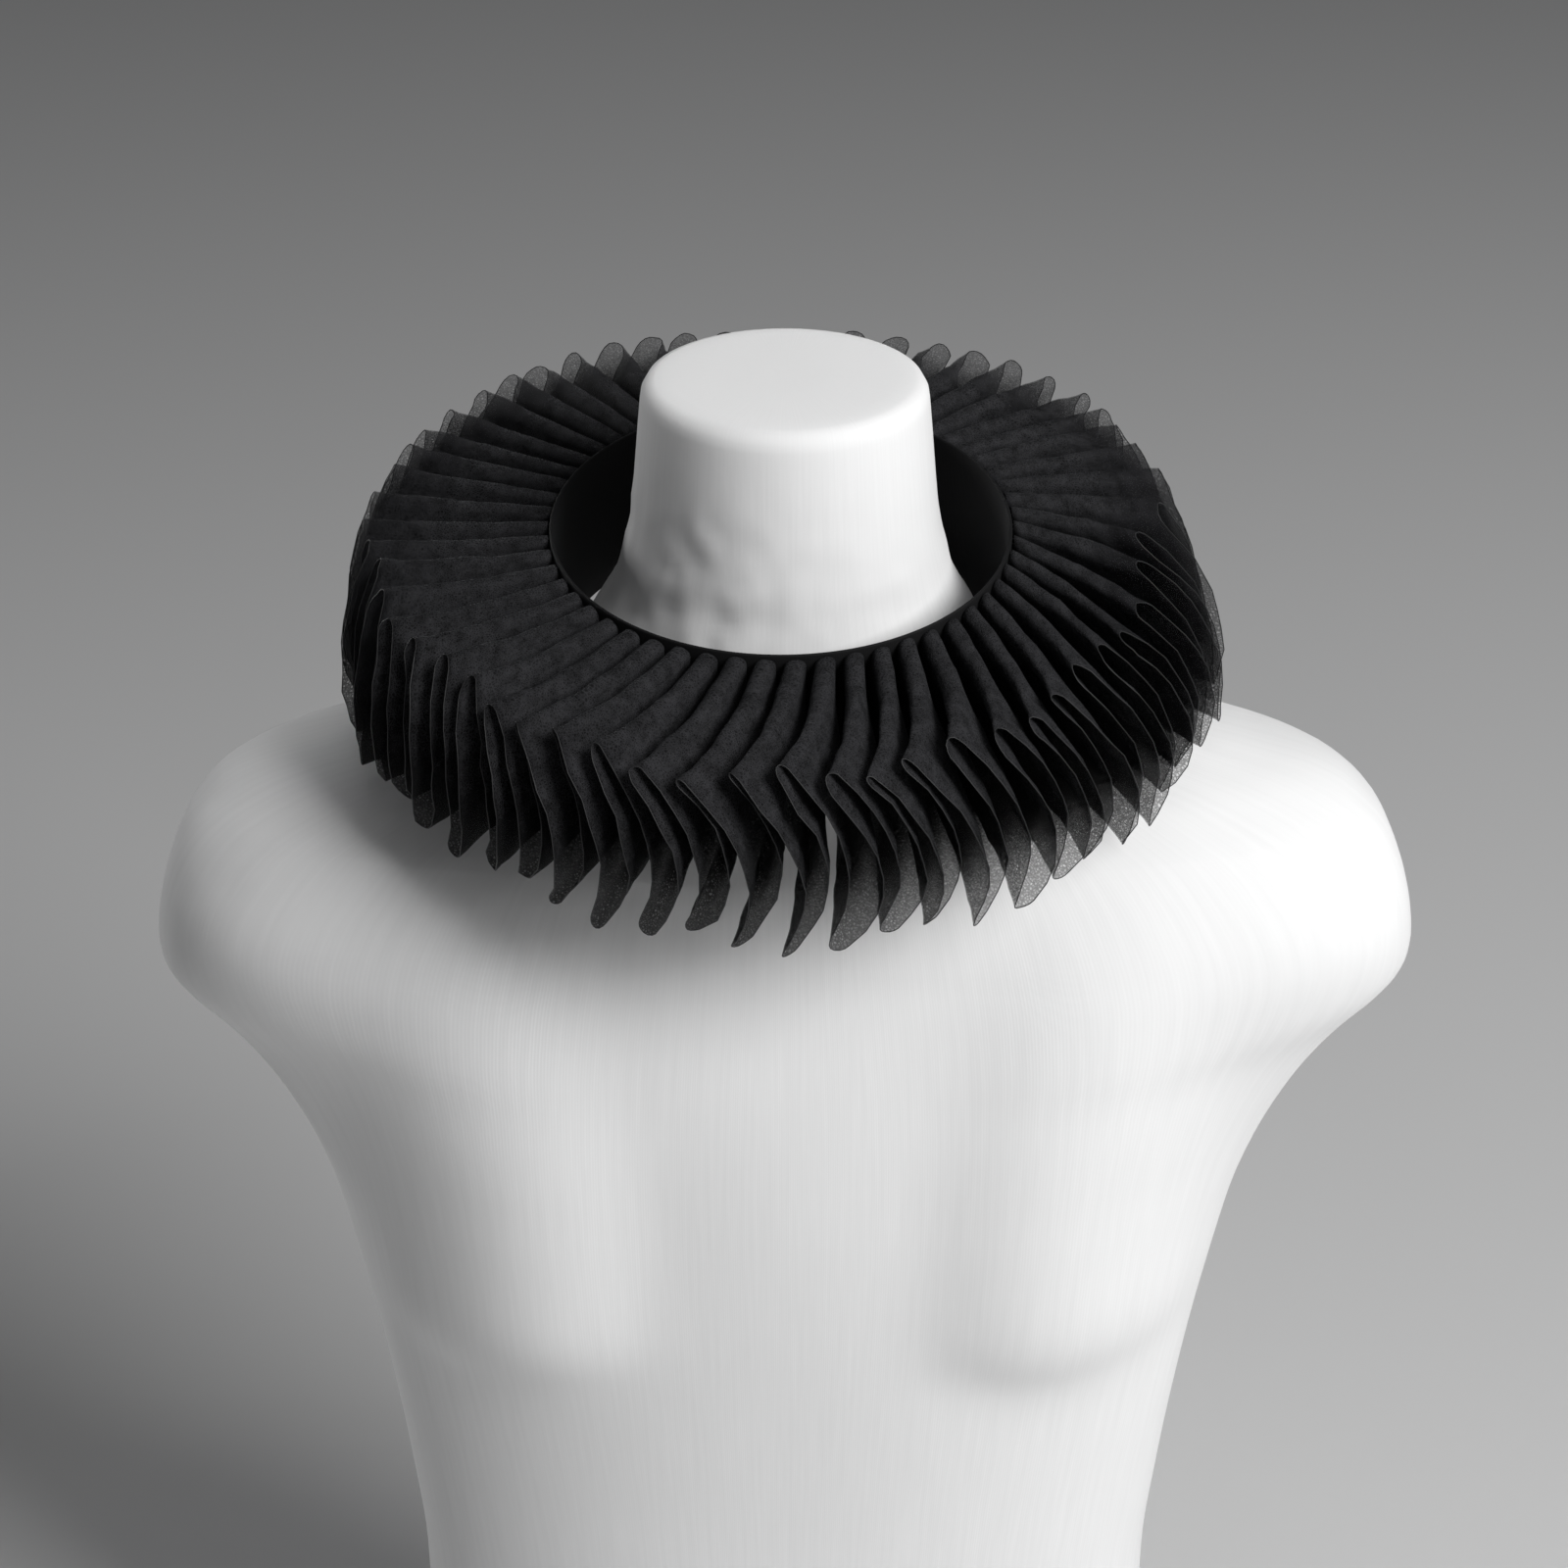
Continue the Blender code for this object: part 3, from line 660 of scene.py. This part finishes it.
torsoSections = (
    (0.000, 0.1590, 0.0930, 0.1040, 2.30),
    (0.045, 0.1530, 0.0890, 0.0990, 2.30),
    (0.090, 0.1405, 0.0820, 0.0870, 2.30),
    (0.130, 0.1335, 0.0780, 0.0770, 2.30),
    (0.166, 0.1339, 0.0785, 0.0735, 2.30),
    (0.211, 0.1384, 0.0820, 0.0765, 2.30),
    (0.261, 0.1457, 0.0880, 0.0840, 2.30),
    (0.290, 0.1512, 0.0917, 0.0896, 2.25),
    (0.304, 0.1543, 0.0934, 0.0920, 2.20),
    (0.328, 0.1605, 0.0956, 0.0957, 2.10),
    (0.343, 0.1662, 0.0965, 0.0978, 2.05),
    (0.357, 0.1730, 0.0969, 0.0991, 2.00),
    (0.375, 0.1837, 0.0966, 0.1002, 2.00),
    (0.384, 0.1906, 0.0961, 0.1006, 2.00),
    (0.392, 0.1978, 0.0954, 0.1009, 2.00),
    (0.400, 0.2060, 0.0944, 0.1011, 2.05),
    (0.408, 0.2137, 0.0930, 0.1012, 2.15),
    (0.417, 0.2163, 0.0911, 0.1011, 2.30),
    (0.431, 0.2148, 0.0880, 0.1002, 2.60),
    (0.443, 0.2122, 0.0847, 0.0982, 2.70),
    (0.455, 0.2079, 0.0808, 0.0950, 2.60),
    (0.464, 0.2033, 0.0770, 0.0920, 2.50),
    (0.471, 0.1972, 0.0730, 0.0890, 2.40),
    (0.478, 0.1895, 0.0670, 0.0840, 2.2),
    (0.484, 0.1780, 0.0610, 0.0780, 2.1),
    (0.489, 0.1610, 0.0550, 0.0730, 2.0),
    (0.493, 0.1460, 0.0490, 0.0700, 2.0),
    (0.497, 0.1300, 0.0430, 0.0660, 2.0),
    (0.502, 0.1120, 0.0360, 0.0610, 2.0),
    (0.507, 0.0920, 0.0300, 0.0550, 2.0),
    (0.511, 0.0720, 0.0250, 0.0490, 2.0),
    (0.516, 0.0440, 0.0180, 0.0400, 2.0),
    (0.523, 0.0280, 0.0100, 0.0260, 2.0),
)
bustMounds = (
    {"side": -0.1010, "height": 0.3210, "reach": 0.0130, "halfWidth": 0.0480, "rise": 0.1200, "fall": 0.0430},
    {"side": 0.1010, "height": 0.3210, "reach": 0.0130, "halfWidth": 0.0480, "rise": 0.1200, "fall": 0.0430},
)


def slopesOf(table, column):
    # a slope for each row that keeps the curve through them from overshooting
    steps = []
    for low, high in zip(table, table[1:]):
        steps.append((high[column] - low[column]) / (high[0] - low[0]))
    slopes = [steps[0]]
    for before, after in zip(steps, steps[1:]):
        slopes.append(0.0 if before * after <= 0 else 2 * before * after / (before + after))
    return slopes + [steps[-1]]


def smoothStack(columns, table):
    slopes = [slopesOf(table, k) for k in range(len(columns))]

    def sectionAt(height):
        for row in range(len(table) - 1):
            low, high = table[row], table[row + 1]
            if low[0] <= height <= high[0]:
                span = high[0] - low[0]
                t = (height - low[0]) / span
                found = {}
                for k, name in enumerate(columns):
                    a, b = low[k], high[k]
                    rise, fall = slopes[k][row] * span, slopes[k][row + 1] * span
                    found[name] = (a * (1 + 2 * t) * (1 - t) ** 2 + rise * t * (1 - t) ** 2
                                   + b * t * t * (3 - 2 * t) - fall * t * t * (1 - t))
                return found
        return None

    return sectionAt


def sectionRadius(section, angle, power):
    depth = section["front"] if math.sin(angle) < 0 else section["back"]
    x = abs(math.cos(angle)) / section["halfWidth"]
    y = abs(math.sin(angle)) / depth
    return (x**power + y**power) ** (-1 / power)


def bustReach(x, height):
    # two round mounds with soft edges
    total = 0.0
    for mound in bustMounds:
        across = (x - mound["side"]) / mound["halfWidth"]
        over = height - mound["height"]
        along = over / mix(mound["fall"], mound["rise"], eased((over / mound["fall"] + 1) / 2))
        inside = 1 - across * across - along * along
        total += mound["reach"] * math.log1p(math.exp(form["bustEdge"] * inside)) / form["bustEdge"]
    return total


neckAt = smoothStack(neckColumns, neckSections)
rawTorsoAt = smoothStack(torsoColumns, torsoSections)


def torsoAt(height):
    # the stuffed cover bridges small changes: each section is the mean of those close above and below
    reach = form["softening"] * eased((0.480 - height) / 0.04) * eased((height - 0.006) / 0.02)
    if not reach:
        return rawTorsoAt(height)
    near = [rawTorsoAt(height + reach * k / 3) for k in range(-3, 4)]
    return {name: sum(section[name] for section in near) / len(near) for name in near[0]}


def formPoint(angle, height):
    neck, torso = neckAt(height), torsoAt(height)
    neckRadius = sectionRadius(neck, angle, 2.0) if neck else 0.0
    torsoRadius = sectionRadius(torso, angle, torso["squareness"]) if torso else 0.0
    power = form["unionPower"]
    radius = (neckRadius**power + torsoRadius**power) ** (1 / power)
    neckShare = neckRadius**2 / (neckRadius**2 + torsoRadius**2)
    neckAxis = neck["axis"] if neck else 0.0
    x = radius * math.cos(angle)
    y = mix(form["torsoAxis"], neckAxis, neckShare) + radius * math.sin(angle)
    if y < 0:
        y -= bustReach(x, height) * min(1.0, -y / form["bustFrom"])
    slope = clamped((height - form["slopeFrom"]) / (form["slopeTo"] - form["slopeFrom"]))
    return Vector((x, y, height + (y - neckAxis) * math.tan(math.radians(form["capSlope"])) * slope))


def dented(point):
    # the padding is a little lumpy under the cover, most at the neck's left front
    share = eased((point.z - 0.43) / 0.05) * eased((0.60 - point.z) / 0.03)
    share *= mix(0.3, 1.0, eased((0.015 - point.x) / 0.04))
    outward = Vector((point.x, point.y, 0.0)).normalized()
    return point + outward * form["dent"] * share * noise.noise(point / form["dentSize"])


def makeForm():
    rowHeights = sorted({row[0] for row in neckSections + torsoSections})
    heights = [rowHeights[0]]
    for low, high in zip(rowHeights, rowHeights[1:]):
        cuts = max(1, math.ceil((high - low) / form["ringStep"]))
        heights += [mix(low, high, k / cuts) for k in range(1, cuts + 1)]
    rings, count = len(heights) - 1, form["around"]
    builder = bmesh.new()
    bmesh.ops.create_grid(builder, x_segments=count, y_segments=rings, size=0.5)
    cut = builder.loops.layers.uv.new("cut")
    for face in builder.faces:
        for corner in face.loops:
            row = round((corner.vert.co.y + 0.5) * rings)
            corner[cut].uv = ((corner.vert.co.x + 0.5) * form["girth"], heights[row])
    for vert in builder.verts:
        angle = math.pi / 2 + math.tau * (vert.co.x + 0.5)  # the seam is up the back
        row = round((vert.co.y + 0.5) * rings)
        vert.co = dented(formPoint(angle, heights[row]))
    bmesh.ops.remove_doubles(builder, verts=builder.verts[:], dist=1e-6)
    for wanted in (heights[0], heights[-1]):
        rim = [e for e in builder.edges if e.is_boundary
               and all(abs(v.co.z - wanted) < 0.02 for v in e.verts)]
        lid = bmesh.ops.contextual_create(builder, geom=rim)["faces"]
        if wanted > 0.3:
            for step in range(6):
                inset = bmesh.ops.inset_region(builder, faces=lid, thickness=0.0055, depth=0.0,
                                               use_even_offset=True)
                for face in lid:
                    for vert in face.verts:
                        vert.co.z += 0.00035 * (1 - step / 6)
    bmesh.ops.recalc_face_normals(builder, faces=builder.faces[:])
    piece = finishPiece("coveredForm", builder, formCloth, 50.0)
    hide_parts("dress_form")
    return piece


coveredForm = makeForm()
print("form covered")

# ---- hooks and bars keep their own shapes and get their finish
for name in ("hook_upper", "hook_lower", "bar_upper", "bar_lower"):
    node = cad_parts[name]
    node.data.materials.clear()
    node.data.materials.append(blackSteel)

# ---- floor and lights: pale paper, one big soft light from the right, a weak one behind on the left
studio = {
    "floorSize": 16.0,
    "sky": "#d2d3d5",
    "skyStrength": 0.125,
    "lights": (
        {"name": "keyLight", "place": (2.20, -1.95, 2.57), "size": 1.8, "power": 138.0},
        {"name": "topLight", "place": (0.20, -0.20, 2.40), "size": 1.2, "power": 4.0},
        {"name": "rimLight", "place": (-1.30, 1.25, 1.00), "size": 0.35, "power": 0.5, "spread": 40.0},
    ),
    "aim": (0.0, 0.0, 0.42),
}


def makeStudio():
    builder = bmesh.new()
    bmesh.ops.create_grid(builder, x_segments=2, y_segments=2, size=studio["floorSize"] / 2)
    mesh = bpy.data.meshes.new("studioFloor")
    builder.to_mesh(mesh)
    builder.free()
    mesh.materials.append(floorPaint)
    floor = bpy.data.objects.new("studioFloor", mesh)
    bpy.context.scene.collection.objects.link(floor)
    world = bpy.data.worlds.new("studioAir")
    world.use_nodes = True
    background = world.node_tree.nodes["Background"]
    background.inputs["Color"].default_value = paint(studio["sky"])
    background.inputs["Strength"].default_value = studio["skyStrength"]
    bpy.context.scene.world = world
    for lamp in studio["lights"]:
        data = bpy.data.lights.new(lamp["name"], "AREA")
        data.shape = "SQUARE"
        data.size = lamp["size"]
        data.energy = lamp["power"]
        data.spread = math.radians(lamp.get("spread", 180.0))
        light = bpy.data.objects.new(lamp["name"], data)
        light.location = lamp["place"]
        aim = Vector(studio["aim"]) - Vector(lamp["place"])
        light.rotation_euler = aim.to_track_quat("-Z", "Y").to_euler()
        bpy.context.scene.collection.objects.link(light)


makeStudio()
print("studio lit")

bpy.context.view_layer.update()
